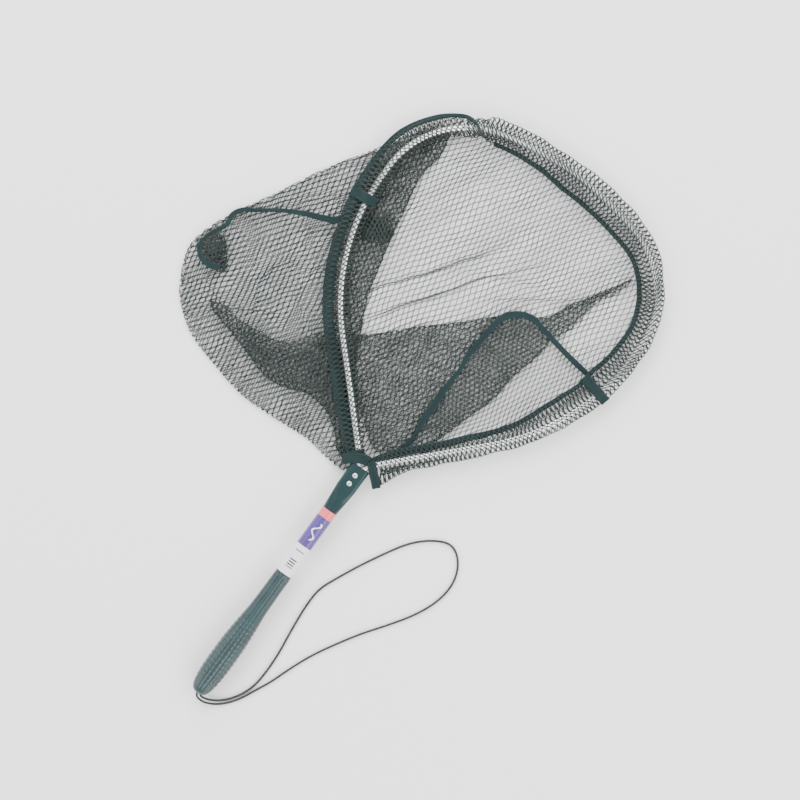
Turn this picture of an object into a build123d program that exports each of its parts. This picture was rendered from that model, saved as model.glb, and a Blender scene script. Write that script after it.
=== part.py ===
from build123d import *
import math
import os

# Hand landing net, laid down flat: +Y runs from the grip to the far end of the hoop, +Z is up
# and the bag lies out over the left arm of the hoop. The origin is the middle of the footprint
# of the net without its lanyard, on the surface that the net lies on.
# Lengths in millimetres, angles in degrees.

# Where the neck, the crossing of the hoop's two arms on the handle's axis, stands.
NECK_X = 64.0
NECK_Y = -52.0
AXIS_Z = 15.5  # height of the handle's axis and of the hoop's plane

# Hoop: one length of tube bent round, with both ends side by side in the handle
HOOP_TUBE_R = 4.0
HOOP_WALL = 1.0
LEG_X = 4.1
LEG_END_Y = -34.0
NECK_BEND_Y = -8.0
NECK_BEND_R = 18.0
ARM_ANGLE = 44.0
HOOP_HALF_WIDTH = 183.5
SIDE_R = 262.0
SIDE_FLAT = 13.0
CORNER_R = 112.0
CORNER_ANGLE = 74.0

# Handle tube, pressed flat at the neck
HANDLE_R = 9.5
HANDLE_WALL = 1.0
HANDLE_TIP_Y = -5.0
FLAT_WIDTH = 24.5
FLAT_THICK = 10.0
FLAT_END_Y = -36.0
ROUND_START_Y = -68.0
TUBE_END_Y = -318.0

# Blind rivets through the flattened end, between the two legs of the hoop
RIVET_YS = (-17.0, -28.7)
RIVET_R = 1.6
RIVET_HEAD_R = 3.25
RIVET_HEAD_H = 1.5
BULB_R = 2.5
BULB_H = 2.2
MANDREL_R = 0.9
MANDREL_SUNK = 0.5
MANDREL_HEAD_R = 1.5
MANDREL_HEAD_H = 0.9

# Printed film label round the tube
LABEL_TOP_Y = -68.5
LABEL_END_Y = -160.4
LABEL_THICK = 0.3

# Moulded grip: distance along the handle and radius, top to butt
GRIP_PROFILE = [
    (-160.8, 10.4),
    (-188.0, 10.6),
    (-214.0, 11.2),
    (-238.0, 13.5),
    (-262.0, 15.2),
    (-288.0, 15.5),
    (-310.0, 14.8),
    (-325.0, 12.4),
]
BUTT_Y = -336.5
BUTT_HOLE_R = 3.8
KNOT_ROOM_R = 6.0
KNOT_ROOM_END_Y = -330.0

# Lanyard: one loop of cord, both of its ends knotted inside the butt
CORD_D = 3.0
KNOT_R = 5.0
KNOT_LENGTH = 8.0
CORD_START_Y = -326.0
ARC_SHARE = 0.45
LANYARD_ROUTE = [
    (65.8, -378.0, 15.5),
    (65.8, -389.0, 15.5),
    (75.5, -390.4, 8.6),
    (87.5, -385.4, 3.4),
    (98.5, -375.6, 1.6),
    (107.8, -362.0, 1.6),
    (114.6, -344.0, 1.6),
    (116.2, -322.0, 1.6),
    (115.4, -296.0, 1.6),
    (111.4, -266.0, 1.6),
    (108.2, -234.0, 1.6),
    (108.4, -206.0, 1.6),
    (117.6, -184.0, 1.6),
    (131.6, -154.0, 1.6),
    (146.4, -126.4, 1.6),
    (163.0, -98.0, 1.6),
    (183.6, -78.0, 1.6),
    (206.4, -67.2, 1.6),
    (225.0, -79.4, 1.6),
    (235.4, -102.4, 1.6),
    (233.8, -130.0, 1.6),
    (221.8, -160.0, 1.6),
    (202.0, -190.0, 1.6),
    (181.6, -217.6, 1.6),
    (164.2, -246.0, 1.6),
    (148.0, -275.0, 1.6),
    (136.2, -304.0, 1.6),
    (128.0, -328.0, 1.6),
    (119.0, -346.6, 1.6),
    (111.0, -364.6, 1.6),
    (101.0, -379.2, 1.6),
    (88.6, -390.0, 3.4),
    (74.9, -395.2, 8.6),
    (62.2, -392.0, 15.5),
    (62.2, -378.0, 15.5),
]

# Loose netting sleeve round the hoop: a teardrop with its tail sewn into the rim tape
SLEEVE_R = 6.2
SLEEVE_BORE_R = 4.2
SLACK_REACH = 12.0
TAIL_REACH = 22.0
TAIL_DROP_IN = 6.5  # where the bag pulls the tail in and down
TAIL_DROP_OUT = 3.0  # where the tail lies out over the bag's lobe
TAIL_R = 1.5
TAPE_THICK = 1.2
RIM_TAPE_WIDTH = 11.0
TAB_GAP = 0.15
TAB_WIDTH = 12.0
END_TAPE_WIDTH = 8.0
SLEEVE_START = 22.0  # along the arm from the end of the neck's bend
END_TAPE_INSET = 4.0
RIGHT_TAB_SHARE = 0.505  # shares of the way from a leg's end to the middle of the far end
LEFT_TAB_SHARE = 0.545
TURNOVER_SHARE = 0.78  # where the tail turns from outside the left arm to inside the far end
SLEEVE_GAP = 0.6

# Bag netting: a floor layer under the hoop and out to the lobe, and a puffed layer above the lobe
NET_THICK = 3.0
FLOOR_INSET = 16.0
RIM_WALL = 2.6
LOBE_HEIGHT = 30.0
LOBE_FLOOR = [
    (-190.0, 350.0),
    (-242.0, 263.0),
    (-297.0, 163.0),
    (-321.0, 112.0),
    (-321.0, 76.0),
    (-302.0, 35.0),
    (-258.0, 2.0),
    (-180.0, -19.0),
    (-36.0, -19.0),
    (-10.0, 20.0),
]
LOBE_TOP = [
    (-215.0, 300.0),
    (-239.0, 262.0),
    (-294.0, 163.0),
    (-317.0, 112.0),
    (-317.0, 78.0),
    (-299.0, 38.0),
    (-257.0, 5.0),
    (-180.0, -15.0),
    (-46.0, -14.0),
    (-126.0, 80.0),
    (-185.0, 168.0),
    (-209.0, 245.0),
]
LOBE_ROOF = [
    (-219.0, 276.0),
    (-227.0, 256.0),
    (-268.0, 166.0),
    (-286.0, 114.0),
    (-286.0, 88.0),
    (-272.0, 60.0),
    (-240.0, 32.0),
    (-178.0, 14.0),
    (-104.0, 14.0),
    (-146.0, 84.0),
    (-197.0, 170.0),
    (-216.0, 246.0),
]
WALL_CUT = [(0.0, -60.0), (-400.0, -60.0), (-400.0, 440.0), (-146.0, 390.0), (0.0, 150.0)]
PASSAGE_TOP = 8.8  # the lobe stays open to the hoop's mouth from the floor layer up to here
PASSAGE_WIDTH = 36.0

# Binding tapes of the bag's two side seams
SEAM_TAPE_WIDTH = 8.0
RIGHT_SEAM = [
    (146.0, 243.0),
    (106.0, 250.0),
    (58.0, 261.0),
    (31.0, 234.0),
    (25.0, 180.0),
    (26.0, 104.0),
    (27.0, 66.0),
]
LEFT_SEAM = [
    (-210.0, 220.0),
    (-229.0, 202.0),
    (-256.0, 185.0),
    (-286.0, 160.0),
    (-297.0, 134.0),
    (-303.0, 104.0),
    (-284.0, 84.0),
]
SEAM_BEND_R = 9.0


def at_neck(x, y, z):
    """A point given from the neck, in the part's own frame."""
    return (NECK_X + x, NECK_Y + y, z)


def level(z):
    """The horizontal plane at height z, with its origin on the neck."""
    return Plane(at_neck(0, 0, z))


def across(y):
    """The plane square to the handle at y, facing the butt, with its own y axis upwards."""
    return Plane(at_neck(0, y, AXIS_Z), x_dir=(1, 0, 0), z_dir=(0, -1, 0))


def write(builder, name):
    """Label the sub-part and write it as its own STEP."""
    builder.part.label = name
    export_step(builder.part, f"parts/{name}.step")


os.makedirs("parts", exist_ok=True)

# Hoop: lengths worked out from the angles, so that every arc runs into the next
arm_sin = math.sin(math.radians(ARM_ANGLE))
arm_cos = math.cos(math.radians(ARM_ANGLE))
arm_start_x = LEG_X + NECK_BEND_R * (1 - arm_cos)
arm_length = (HOOP_HALF_WIDTH - arm_start_x - SIDE_R * (1 - arm_cos)) / arm_sin
corner_turn = math.radians(CORNER_ANGLE)
far_angle = 90.0 - CORNER_ANGLE
far_half_width = HOOP_HALF_WIDTH - CORNER_R * (1 - math.cos(corner_turn))
far_r = far_half_width / math.sin(math.radians(far_angle))

with BuildLine() as hoop_line:
    leg = Line(at_neck(LEG_X, LEG_END_Y, AXIS_Z), at_neck(LEG_X, NECK_BEND_Y, AXIS_Z))
    bend = JernArc(leg @ 1, leg % 1, NECK_BEND_R, -ARM_ANGLE)
    arm = Line(bend @ 1, (bend @ 1) + (bend % 1) * arm_length)
    side = JernArc(arm @ 1, arm % 1, SIDE_R, ARM_ANGLE)
    flat = Line(side @ 1, (side @ 1) + Vector(0, SIDE_FLAT, 0))
    corner = JernArc(flat @ 1, flat % 1, CORNER_R, CORNER_ANGLE)
    JernArc(corner @ 1, corner % 1, far_r, far_angle)
    mirror(about=Plane.YZ.offset(NECK_X))

with BuildPart() as hoop_tube:
    with BuildSketch(Plane(at_neck(LEG_X, LEG_END_Y, AXIS_Z), z_dir=(0, 1, 0))):
        Circle(HOOP_TUBE_R)
        Circle(HOOP_TUBE_R - HOOP_WALL, mode=Mode.SUBTRACT)
    sweep(path=hoop_line.wire())
    with BuildSketch(level(AXIS_Z)):
        with Locations(*[(0, y) for y in RIVET_YS]):
            Circle(RIVET_R)
    extrude(amount=FLAT_THICK, both=True, mode=Mode.SUBTRACT)
write(hoop_tube, "hoop_tube")

# Handle tube: round, then pressed into a flat slot shape that grips the two legs
with BuildPart() as handle_tube:
    for shrink, mode in ((0.0, Mode.ADD), (HANDLE_WALL, Mode.SUBTRACT)):
        with BuildSketch(across(ROUND_START_Y)):
            Circle(HANDLE_R - shrink)
        extrude(amount=ROUND_START_Y - TUBE_END_Y, mode=mode)
        with BuildSketch(across(HANDLE_TIP_Y)):
            SlotOverall(FLAT_WIDTH - 2 * shrink, FLAT_THICK - 2 * shrink)
        extrude(amount=HANDLE_TIP_Y - FLAT_END_Y, mode=mode)
        with BuildSketch(across(FLAT_END_Y)):
            SlotOverall(FLAT_WIDTH - 2 * shrink, FLAT_THICK - 2 * shrink)
        with BuildSketch(across(ROUND_START_Y)):
            Circle(HANDLE_R - shrink)
        loft(mode=mode)
    with BuildSketch(level(AXIS_Z)):
        with Locations(*[(0, y) for y in RIVET_YS]):
            Circle(RIVET_R)
    extrude(amount=FLAT_THICK, both=True, mode=Mode.SUBTRACT)
write(handle_tube, "handle_tube")

# Rivets: low domed heads above, formed bulbs below, and a broken-off mandrel inside each
flat_top = FLAT_THICK / 2
with BuildPart() as rivets:
    for rivet_y in RIVET_YS:
        with BuildSketch(Plane(at_neck(0, rivet_y, AXIS_Z), x_dir=(1, 0, 0), z_dir=(0, -1, 0))):
            with BuildLine():
                Polyline(
                    (MANDREL_R, flat_top + RIVET_HEAD_H),
                    (MANDREL_R, -flat_top - BULB_H),
                    (BULB_R - 0.8, -flat_top - BULB_H),
                    (BULB_R, -flat_top - BULB_H / 2),
                    (BULB_R, -flat_top),
                    (RIVET_R, -flat_top),
                    (RIVET_R, flat_top),
                    (RIVET_HEAD_R, flat_top),
                )
                ThreePointArc(
                    (RIVET_HEAD_R, flat_top),
                    (RIVET_HEAD_R * 0.72, flat_top + RIVET_HEAD_H * 0.72),
                    (MANDREL_R, flat_top + RIVET_HEAD_H),
                )
            make_face()
        revolve(axis=Axis(at_neck(0, rivet_y, AXIS_Z), (0, 0, 1)))
write(rivets, "rivets")

with BuildPart() as rivet_mandrels:
    for rivet_y in RIVET_YS:
        with Locations(Location(at_neck(0, rivet_y, AXIS_Z - flat_top - BULB_H))):
            Cylinder(
                MANDREL_R,
                FLAT_THICK + BULB_H + RIVET_HEAD_H - MANDREL_SUNK,
                align=(Align.CENTER, Align.CENTER, Align.MIN),
            )
            Cylinder(
                MANDREL_HEAD_R,
                MANDREL_HEAD_H,
                align=(Align.CENTER, Align.CENTER, Align.MAX),
            )
write(rivet_mandrels, "rivet_mandrels")

with BuildPart() as label:
    with BuildSketch(across(LABEL_TOP_Y)):
        Circle(HANDLE_R + LABEL_THICK)
        Circle(HANDLE_R, mode=Mode.SUBTRACT)
    extrude(amount=LABEL_TOP_Y - LABEL_END_Y)
write(label, "label")

# Grip: a solid of revolution about the handle's axis, with the tube's socket, room for the
# knot behind it and a hole through the butt
grip_top = GRIP_PROFILE[0][0]
with BuildPart() as grip:
    with BuildSketch(level(AXIS_Z)):
        with BuildLine():
            waist = Spline(*[(radius, y) for y, radius in GRIP_PROFILE])
            butt = TangentArc(waist @ 1, (KNOT_ROOM_R, BUTT_Y), tangent=waist % 1)
            Polyline(
                butt @ 1,
                (BUTT_HOLE_R, BUTT_Y),
                (BUTT_HOLE_R, KNOT_ROOM_END_Y),
                (KNOT_ROOM_R, KNOT_ROOM_END_Y),
                (KNOT_ROOM_R, TUBE_END_Y),
                (HANDLE_R, TUBE_END_Y),
                (HANDLE_R, grip_top),
                waist @ 0,
            )
        make_face()
    revolve(axis=Axis(at_neck(0, 0, AXIS_Z), (0, 1, 0)))
write(grip, "grip")

# Lanyard: straight runs joined by arcs as large as the shorter run at each corner allows
route = [Vector(*point) for point in LANYARD_ROUTE]
arc_radii = []
for before, corner, after in zip(route, route[1:], route[2:]):
    turn = (corner - before).get_angle(after - corner)
    shorter_run = min((corner - before).length, (after - corner).length)
    arc_radii.append(ARC_SHARE * shorter_run / math.tan(math.radians(turn) / 2))
print("lanyard arc radii", [round(radius, 1) for radius in arc_radii])

with BuildLine() as lanyard_line:
    FilletPolyline(*route, radius=arc_radii)
with BuildPart() as lanyard:
    with BuildSketch(Plane(route[0], z_dir=route[1] - route[0])):
        Circle(CORD_D / 2)
    sweep(path=lanyard_line.wire())
cord_length = lanyard_line.wire().length
tube_volume = math.pi * CORD_D**2 / 4 * cord_length
print("lanyard length", round(cord_length, 1), "volume share", lanyard.part.volume / tube_volume)
write(lanyard, "lanyard")

with BuildPart() as lanyard_knot:
    with BuildSketch(across(CORD_START_Y + KNOT_LENGTH)):
        Circle(KNOT_R)
    extrude(amount=KNOT_LENGTH)
    chamfer(lanyard_knot.edges().filter_by(GeomType.CIRCLE), length=1.2)
write(lanyard_knot, "lanyard_knot")

# Hem sleeve: the same teardrop all the way round, swept along a share of the hoop's line
hoop_length = hoop_line.wire().length
arm_lead = NECK_BEND_Y - LEG_END_Y + NECK_BEND_R * math.radians(ARM_ANGLE)
right_start = (arm_lead + SLEEVE_START) / hoop_length
left_start = 1 - right_start


def hoop_share(share, side):
    """A place on the hoop's whole line: side 1 is the right half, -1 the left half."""
    half = share / 2
    return half if side > 0 else 1 - half


def section_plane(place, tail_side):
    """Square to the hoop at place, with the plane's x axis towards the tail, z up the y axis."""
    wire = hoop_line.wire()
    tangent = wire % place
    inwards = Vector(-tangent.Y, tangent.X, 0)
    return Plane(wire @ place, x_dir=inwards * tail_side, z_dir=inwards.cross(Vector(0, 0, 1)) * tail_side)


def teardrop(grow, tail_side):
    """The sleeve's outline grown by a margin all round, tail along +x."""
    drop = TAIL_DROP_IN if tail_side > 0 else TAIL_DROP_OUT
    with BuildSketch(mode=Mode.PRIVATE) as outline:
        with Locations((-SLACK_REACH, 0)):
            Circle(TAIL_R + grow)
        Circle(SLEEVE_R + grow)
        with Locations((TAIL_REACH, -drop)):
            Circle(TAIL_R + grow)
        make_hull()
    return outline.sketch


def sleeve(start, end, tail_side, name):
    """A stretch of netting sleeve with a clear bore for the hoop's tube."""
    with BuildPart() as stretch:
        with BuildSketch(section_plane(start, tail_side)):
            add(teardrop(0, tail_side))
            Circle(SLEEVE_BORE_R, mode=Mode.SUBTRACT)
        sweep(path=hoop_line.wire().trim(start, end))
    write(stretch, name)


def rim_tape(start, end, tail_side, name):
    """Binding tape folded over the sleeve's tail."""
    with BuildPart() as stretch:
        with BuildSketch(section_plane(start, tail_side)):
            add(teardrop(TAPE_THICK, tail_side))
            add(teardrop(0, tail_side), mode=Mode.SUBTRACT)
            with Locations((TAIL_REACH - RIM_TAPE_WIDTH, 0)):
                Rectangle(
                    RIM_TAPE_WIDTH * 2,
                    TAIL_REACH * 2,
                    align=(Align.MIN, Align.CENTER),
                    mode=Mode.INTERSECT,
                )
        sweep(path=hoop_line.wire().trim(start, end))
    write(stretch, name)


def tab(place, tail_side, width, name):
    """A loop of tape right round the sleeve, outside the rim tape."""
    with BuildPart() as loop:
        with BuildSketch(section_plane(place, tail_side)):
            add(teardrop(2 * TAPE_THICK + TAB_GAP, tail_side))
            add(teardrop(TAPE_THICK + TAB_GAP, tail_side), mode=Mode.SUBTRACT)
        extrude(amount=width / 2, both=True)
    write(loop, name)


gap_share = SLEEVE_GAP / hoop_length
end_inset = END_TAPE_INSET / hoop_length
right_tab = hoop_share(RIGHT_TAB_SHARE, 1)
turnover = hoop_share(TURNOVER_SHARE, -1)
left_tab = hoop_share(LEFT_TAB_SHARE, -1)

sleeve(right_start, right_tab, 1, "hem_right_arm")
sleeve(right_tab + gap_share, turnover - gap_share, 1, "hem_far_end")
sleeve(turnover, left_start, -1, "hem_left_arm")
rim_tape(right_start, right_tab, 1, "rim_tape_right")
rim_tape(right_tab + gap_share, turnover - gap_share, 1, "rim_tape_far")
rim_tape(turnover, left_start, -1, "rim_tape_left")
tab(right_tab, 1, TAB_WIDTH, "hoop_tab_right")
tab(left_tab, -1, TAB_WIDTH, "hoop_tab_left")
tab(right_start + end_inset, 1, END_TAPE_WIDTH, "hem_end_tape_right")
tab(left_start - end_inset, -1, END_TAPE_WIDTH, "hem_end_tape_left")


def hoop_area(inset):
    """The area inside the hoop's line moved inwards by inset, drawn from the neck."""
    with BuildSketch() as area:
        with BuildLine():
            arm_start_y = NECK_BEND_Y + NECK_BEND_R * arm_sin
            tip = (0, arm_start_y + (inset - arm_start_x * arm_cos) / arm_sin)
            arm_end = Vector(
                arm_start_x - inset * arm_cos + arm_sin * arm_length,
                arm_start_y + inset * arm_sin + arm_cos * arm_length,
            )
            arm = Line(tip, arm_end)
            side = JernArc(arm @ 1, arm % 1, SIDE_R - inset, ARM_ANGLE)
            flat = Line(side @ 1, (side @ 1) + Vector(0, SIDE_FLAT))
            corner = JernArc(flat @ 1, flat % 1, CORNER_R - inset, CORNER_ANGLE)
            JernArc(corner @ 1, corner % 1, far_r - inset, far_angle)
            mirror(about=Plane.YZ)
        make_face()
    return area.sketch


def outline_area(points):
    """The area inside a closed outline drawn from the neck."""
    with BuildSketch() as area:
        with BuildLine():
            Polyline(*points, close=True)
        make_face()
    return area.sketch


# Far panel: floor netting inside the hoop and under the lobe, with the rim that hangs from
# the rim tape of the far end and of the right arm, and gives way to the tapes looped round it
rim_tape_bottom = AXIS_Z - TAIL_DROP_IN - TAIL_R - TAPE_THICK
with BuildPart() as net_far_panel:
    with BuildSketch(level(0)):
        add(hoop_area(FLOOR_INSET))
        add(outline_area(LOBE_FLOOR))
    extrude(amount=NET_THICK)
    with BuildSketch(level(NET_THICK)):
        add(hoop_area(TAIL_REACH - RIM_WALL / 2))
        add(hoop_area(TAIL_REACH + RIM_WALL / 2), mode=Mode.SUBTRACT)
        add(outline_area(WALL_CUT), mode=Mode.SUBTRACT)
    extrude(amount=rim_tape_bottom - NET_THICK)
    for place, width in ((right_tab, TAB_WIDTH), (right_start + end_inset, END_TAPE_WIDTH)):
        with BuildSketch(section_plane(place, 1)):
            add(teardrop(2 * (TAPE_THICK + TAB_GAP), 1))
        extrude(amount=width / 2 + TAB_GAP, both=True, mode=Mode.SUBTRACT)
write(net_far_panel, "net_far_panel")

# Near panel: the layer puffed up over the lobe, open underneath towards the hoop's mouth
with BuildPart() as net_near_panel:
    for lift, mode in ((0, Mode.ADD), (-NET_THICK, Mode.SUBTRACT)):
        with BuildSketch(level(NET_THICK + lift)):
            add(outline_area(LOBE_TOP))
        with BuildSketch(level(LOBE_HEIGHT + lift)):
            add(outline_area(LOBE_ROOF))
        loft(ruled=True, mode=mode)
    with BuildSketch(level(NET_THICK)):
        with BuildLine():
            Polyline(*LOBE_TOP[-4:])
        trace(line_width=PASSAGE_WIDTH)
    extrude(amount=PASSAGE_TOP - NET_THICK, mode=Mode.SUBTRACT)
write(net_near_panel, "net_near_panel")

# Seam tapes: the right one flat on the floor netting, the left one over the lobe's shoulder
with BuildPart() as seam_tape_right:
    with BuildSketch(level(NET_THICK)):
        with BuildLine():
            FilletPolyline(*RIGHT_SEAM, radius=SEAM_BEND_R)
        trace(line_width=SEAM_TAPE_WIDTH)
    extrude(amount=TAPE_THICK)
write(seam_tape_right, "seam_tape_right")

with BuildPart() as seam_tape_left:
    for lift, mode in ((TAPE_THICK, Mode.ADD), (0, Mode.SUBTRACT)):
        with BuildSketch(level(NET_THICK + lift)):
            add(outline_area(LOBE_TOP))
        with BuildSketch(level(LOBE_HEIGHT + lift)):
            add(outline_area(LOBE_ROOF))
        loft(ruled=True, mode=mode)
    with BuildSketch(level(0)):
        with BuildLine():
            FilletPolyline(*LEFT_SEAM, radius=SEAM_BEND_R)
        trace(line_width=SEAM_TAPE_WIDTH)
    extrude(amount=LOBE_HEIGHT * 2, mode=Mode.INTERSECT)
write(seam_tape_left, "seam_tape_left")
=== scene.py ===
import math

import bpy
import numpy as np
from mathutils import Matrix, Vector


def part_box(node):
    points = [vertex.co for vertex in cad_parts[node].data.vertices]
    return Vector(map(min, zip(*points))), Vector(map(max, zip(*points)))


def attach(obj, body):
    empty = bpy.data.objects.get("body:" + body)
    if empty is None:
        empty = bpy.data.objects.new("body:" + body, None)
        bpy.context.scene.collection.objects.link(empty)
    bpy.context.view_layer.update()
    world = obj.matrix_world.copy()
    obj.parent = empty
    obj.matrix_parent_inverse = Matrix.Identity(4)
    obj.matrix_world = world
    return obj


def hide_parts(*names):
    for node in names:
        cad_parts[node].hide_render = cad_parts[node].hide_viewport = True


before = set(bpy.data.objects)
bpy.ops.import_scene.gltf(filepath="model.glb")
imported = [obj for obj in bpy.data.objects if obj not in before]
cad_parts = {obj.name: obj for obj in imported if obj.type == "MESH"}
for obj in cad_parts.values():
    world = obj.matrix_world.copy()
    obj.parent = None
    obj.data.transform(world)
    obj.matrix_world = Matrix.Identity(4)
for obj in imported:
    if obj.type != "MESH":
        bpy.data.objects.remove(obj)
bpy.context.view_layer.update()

# The places below are in millimetres from the neck, the crossing of the hoop's two arms
# on the handle's axis, with heights above the surface that the net lies on.
MM = 0.001
LEG_LENGTH = 34.0  # from the neck to the ends of the hoop's tube, inside the handle
hoop_low, hoop_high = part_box("hoop_tube")
NECK_X = (hoop_low.x + hoop_high.x) / 2 / MM
NECK_Y = hoop_low.y / MM + LEG_LENGTH
AXIS_Z = (hoop_low.z + hoop_high.z) / 2 / MM
TUBE_R = (hoop_high.z - hoop_low.z) / 2 / MM

THREAD_R = 0.6
STITCH_R = 0.26
STITCH_LENGTH = 2.4
STITCH_PITCH = 3.4
RIB_PITCH = 0.9  # of the tape's weave, along it
WARP_PITCH = 0.7  # and across it
CORD_D = 3.0
CORD_PLAIT = 3.4  # length of one turn of the cord's plait


def row(points):
    """Points in millimetres from the neck as points in the part's frame, in metres."""
    return (np.asarray(points, float) + (NECK_X, NECK_Y, 0.0)) * MM


def unit(directions):
    """The same directions at length one."""
    return directions / np.maximum(np.linalg.norm(directions, axis=-1, keepdims=True), 1e-12)


def run_of(steps):
    """The distance gone after each of a line's steps, from nought."""
    return np.concatenate([[0], np.cumsum(np.linalg.norm(steps, axis=1))])


def at_height(flat, height):
    """Places in plan with their heights."""
    return np.concatenate([flat, height[..., None]], axis=-1)


# -------- camera

VIEW_TURN = math.radians(36.0)
VIEW_CENTRE = (-9.6, 87.1)
VIEW_WIDTH = 952.0
LENS = 100.0
SENSOR = 36.0

camera_data = bpy.data.cameras.new("camera")
camera_data.lens = LENS
camera_data.sensor_width = SENSOR
camera = bpy.data.objects.new("camera", camera_data)
bpy.context.scene.collection.objects.link(camera)
camera.location = row((*VIEW_CENTRE, AXIS_Z + VIEW_WIDTH * LENS / SENSOR))
camera.rotation_euler = (0.0, 0.0, VIEW_TURN)
bpy.context.scene.camera = camera


# -------- materials


class Nodes:
    """A short way to write one material's node tree."""

    def __init__(self, name):
        self.material = bpy.data.materials.new(name)
        self.material.use_nodes = True
        self.tree = self.material.node_tree
        self.shader = self.tree.nodes["Principled BSDF"]
        self.place = self.tree.nodes.new("ShaderNodeTexCoord").outputs["Object"]

    def add(self, kind, **inputs):
        node = self.tree.nodes.new("ShaderNode" + kind)
        for key, value in inputs.items():
            self.link(value, node.inputs[key])
        return node

    def link(self, value, socket):
        if isinstance(value, bpy.types.NodeSocket):
            self.tree.links.new(value, socket)
        else:
            socket.default_value = value

    def math(self, operation, a, b=0.0):
        node = self.tree.nodes.new("ShaderNodeMath")
        node.operation = operation
        for socket, value in zip(node.inputs, (a, b)):
            self.link(value, socket)
        return node.outputs[0]

    def noise(self, scale, detail, place=None):
        node = self.add("TexNoise", Scale=scale, Detail=detail)
        self.link(place or self.place, node.inputs["Vector"])
        return node.outputs["Fac"]

    def mix(self, share, a, b):
        node = self.tree.nodes.new("ShaderNodeMix")
        node.data_type = "RGBA"
        self.link(share, node.inputs[0])
        self.link(a, node.inputs[6])
        self.link(b, node.inputs[7])
        return node.outputs[2]

    def tones(self, value, dark, light):
        """A colour that wanders between two."""
        return self.mix(self.span(value, 0.3, 0.7), (*dark, 1.0), (*light, 1.0))

    def strip_place(self):
        """The millimetres along a tape or cord, and the place across or round it."""
        uv = self.tree.nodes.new("ShaderNodeUVMap").outputs[0]
        return self.add("SeparateXYZ", Vector=uv).outputs[:2]

    def span(self, value, low, high, to_low=0.0, to_high=1.0):
        node = self.tree.nodes.new("ShaderNodeMapRange")
        for socket, v in zip(node.inputs, (value, low, high, to_low, to_high)):
            self.link(v, socket)
        return node.outputs[0]

    def bump(self, height, strength, distance):
        node = self.add("Bump", Strength=strength, Distance=distance, Height=height)
        self.link(node.outputs[0], self.shader.inputs["Normal"])

    def set(self, **values):
        for key, value in values.items():
            self.link(value, self.shader.inputs[key.replace("_", " ")])
        return self.material


def thread_material(name, dark, light):
    n = Nodes(name)
    fibres = n.noise(2600.0, 2.0)
    tone = n.noise(22.0, 2.0)
    colour = n.mix(n.span(tone, 0.35, 0.65), (*dark, 1.0), (*light, 1.0))
    colour = n.mix(n.span(fibres, 0.3, 0.7, 0.0, 0.45), colour, (*[c * 1.7 for c in light], 1.0))
    n.bump(fibres, 0.5, 0.0002)
    return n.set(
        Base_Color=colour,
        Roughness=n.span(fibres, 0.2, 0.8, 0.5, 0.75),
        Specular_IOR_Level=0.35,
        Sheen_Weight=0.06,
    )


def tape_material(name, dark, light):
    """Woven binding tape: crosswise ribs along the piece's own length coordinate."""
    n = Nodes(name)
    along, across = n.strip_place()
    ribs = n.math("SINE", n.math("MULTIPLY", along, 2 * math.pi / RIB_PITCH))
    warps = n.math("SINE", n.math("MULTIPLY", across, 2 * math.pi / WARP_PITCH))
    weave = n.math("MULTIPLY", ribs, warps)
    colour = n.tones(n.noise(60.0, 3.0), dark, light)
    # Painted shade: the colour is darkened in the hollows of the weave, where the bump below sinks.
    colour = n.mix(n.span(weave, -1.0, 1.0, 0.35, 0.0), colour, (*[c * 0.45 for c in dark], 1.0))
    n.bump(weave, 0.6, 0.0004)
    return n.set(Base_Color=colour, Roughness=0.8, Specular_IOR_Level=0.3, Sheen_Weight=0.05)


def alloy_material(name, colour, roughness):
    n = Nodes(name)
    stretched = n.add("Mapping", Vector=n.place, Scale=(1.0, 0.12, 1.0)).outputs[0]
    lines = n.noise(900.0, 4.0, stretched)
    haze = n.noise(40.0, 3.0)
    n.bump(lines, 0.12, 0.0001)
    shade = n.mix(n.span(haze, 0.35, 0.7), (*colour, 1.0), (*[c * 0.8 for c in colour], 1.0))
    return n.set(
        Base_Color=shade,
        Metallic=1.0,
        Roughness=n.span(lines, 0.3, 0.7, roughness * 0.7, roughness * 1.3),
    )


def enamel_material(name):
    n = Nodes(name)
    tone = n.noise(30.0, 3.0)
    n.bump(n.noise(700.0, 2.0), 0.08, 0.0002)
    return n.set(
        Base_Color=n.tones(tone, (0.0035, 0.021, 0.023), (0.006, 0.03, 0.032)),
        Roughness=n.span(tone, 0.2, 0.8, 0.16, 0.26),
        Specular_IOR_Level=0.3,
        Coat_Weight=0.15,
        Coat_Roughness=0.05,
    )


def rubber_material(name):
    n = Nodes(name)
    grain = n.noise(1500.0, 4.0)
    n.bump(grain, 0.35, 0.0003)
    return n.set(
        Base_Color=n.tones(n.noise(35.0, 4.0), (0.007, 0.024, 0.027), (0.013, 0.04, 0.044)),
        Roughness=n.span(grain, 0.3, 0.7, 0.22, 0.36),
    )


# Shares of the label's length, from the hoop's end
PINK_END = 0.115
PURPLE_END = 0.565
WAVE_FROM, WAVE_TO = 0.2, 0.46
RULE_FROM, RULE_TO = 0.64, 0.655
BARS_FROM, BARS_TO = 0.77, 0.9


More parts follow.
